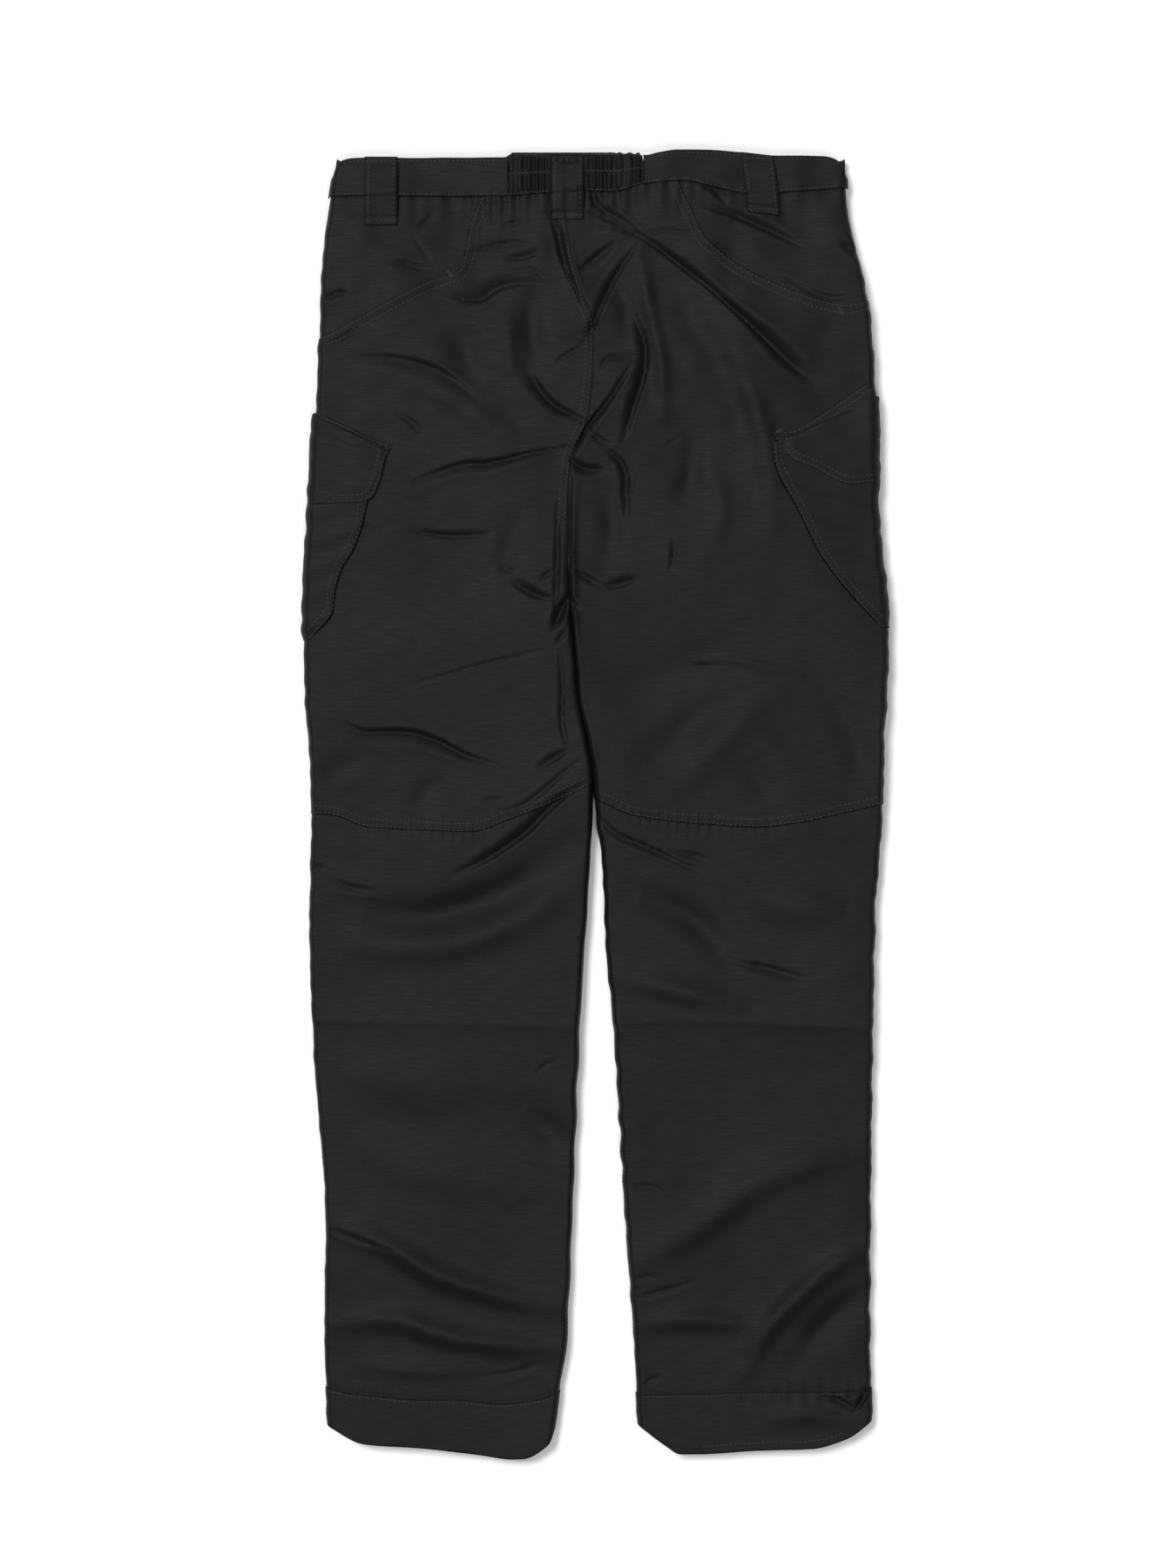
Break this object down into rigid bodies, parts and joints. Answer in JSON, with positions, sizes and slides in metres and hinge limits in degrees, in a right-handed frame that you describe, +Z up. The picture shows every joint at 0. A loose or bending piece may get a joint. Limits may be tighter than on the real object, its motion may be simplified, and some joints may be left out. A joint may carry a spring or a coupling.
{
  "type": "ski pants",
  "caption": "Black woven ski pants lying flat on their front, with belt loops, slanted back pockets, flapped cargo pockets on the thighs, articulated knee seams and boot gaiters in the hems.",
  "frame": {"origin": "on the surface the pants lie on, in the middle of the outline", "axes": "+Y runs from the hems to the waistband, +X towards the wearer's right leg, and +Z up out of the back of the pants, away from the surface"},
  "size_m": [0.4726, 1.054, 0.0345],
  "materials": {
    "shell_nylon": "matt black woven nylon with a faint crosswise slub",
    "elastic_webbing": "woven elastic",
    "snap_metal": "black painted brass",
    "zip_tape": "woven zip tape with a nylon coil",
    "lining_taffeta": "smooth dark taffeta",
    "hook_and_loop": "black hook and loop tape",
    "zip_metal": "black painted zinc casting"
  },
  "bodies": {
    "upper_garment": {"waistband_back_left": "shell_nylon", "waist_elastic_casing": "shell_nylon", "waistband_back_right": "shell_nylon", "waistband_front_left": "shell_nylon", "waistband_front_right": "shell_nylon", "waist_elastic": "elastic_webbing", "belt_loop_back_left": "shell_nylon", "belt_loop_back_centre": "shell_nylon", "belt_loop_back_right": "shell_nylon", "belt_loop_front_left": "shell_nylon", "belt_loop_front_right": "shell_nylon", "snap_stud": "snap_metal", "snap_back_plate": "snap_metal", "zip_tape_left": "zip_tape", "zip_tape_right": "zip_tape", "fly_guard": "lining_taffeta", "left_back_pocket_facing": "shell_nylon", "left_back_thigh_panel": "shell_nylon", "left_back_knee_panel": "shell_nylon", "left_front_thigh_panel": "shell_nylon", "left_cargo_pocket": "shell_nylon", "left_back_pocket_bag": "lining_taffeta", "left_pocket_loop_tape": "hook_and_loop", "right_back_pocket_facing": "shell_nylon", "right_back_thigh_panel": "shell_nylon", "right_back_knee_panel": "shell_nylon", "right_front_thigh_panel": "shell_nylon", "right_cargo_pocket": "shell_nylon", "right_back_pocket_bag": "lining_taffeta", "right_pocket_loop_tape": "hook_and_loop"},
    "left_lower_leg": {"left_back_calf_panel": "shell_nylon", "left_front_calf_panel": "shell_nylon", "left_hem_band": "shell_nylon", "left_boot_gaiter": "lining_taffeta", "left_gaiter_elastic": "elastic_webbing"},
    "left_flap": {"left_cargo_flap": "shell_nylon", "left_flap_hook_tape": "hook_and_loop"},
    "right_lower_leg": {"right_back_calf_panel": "shell_nylon", "right_front_calf_panel": "shell_nylon", "right_hem_band": "shell_nylon", "right_boot_gaiter": "lining_taffeta", "right_gaiter_elastic": "elastic_webbing"},
    "right_flap": {"right_cargo_flap": "shell_nylon", "right_flap_hook_tape": "hook_and_loop"},
    "tab": {"waist_tab": "shell_nylon", "snap_cap": "snap_metal", "snap_socket": "snap_metal"},
    "slider": {"zip_slider": "zip_metal"},
    "pull": {"zip_pull": "zip_metal"}
  },
  "joints": [
    {"name": "left_knee_fold", "type": "hinge", "parent": "upper_garment", "child": "left_lower_leg", "pos_m": [-0.12, -0.174, 0.0255], "axis": [-1, 0, 0], "range_deg": [0, 165]},
    {"name": "right_knee_fold", "type": "hinge", "parent": "upper_garment", "child": "right_lower_leg", "pos_m": [0.12, -0.174, 0.0255], "axis": [-1, 0, 0], "range_deg": [0, 165]},
    {"name": "left_cargo_flap_lift", "type": "hinge", "parent": "upper_garment", "child": "left_flap", "pos_m": [-0.1655, 0.291, 0.0268], "axis": [-0.9038, 0.4279, 0], "range_deg": [0, 100]},
    {"name": "right_cargo_flap_lift", "type": "hinge", "parent": "upper_garment", "child": "right_flap", "pos_m": [0.144, 0.3, 0.0268], "axis": [-0.877, -0.4805, 0], "range_deg": [0, 100]},
    {"name": "fly_zip_slide", "type": "slide", "parent": "upper_garment", "child": "slider", "axis": [0, -1, 0], "range_m": [0, 0.13]},
    {"name": "zip_pull_swing", "type": "hinge", "parent": "slider", "child": "pull", "pos_m": [-0.014, 0.468, 0.0026], "axis": [1, 0, 0], "range_deg": [0, 170]},
    {"name": "waist_tab_open", "type": "hinge", "parent": "upper_garment", "child": "tab", "pos_m": [-0.07, 0.508, 0.0018], "axis": [0, 1, 0], "range_deg": [0, 90]}
  ]
}
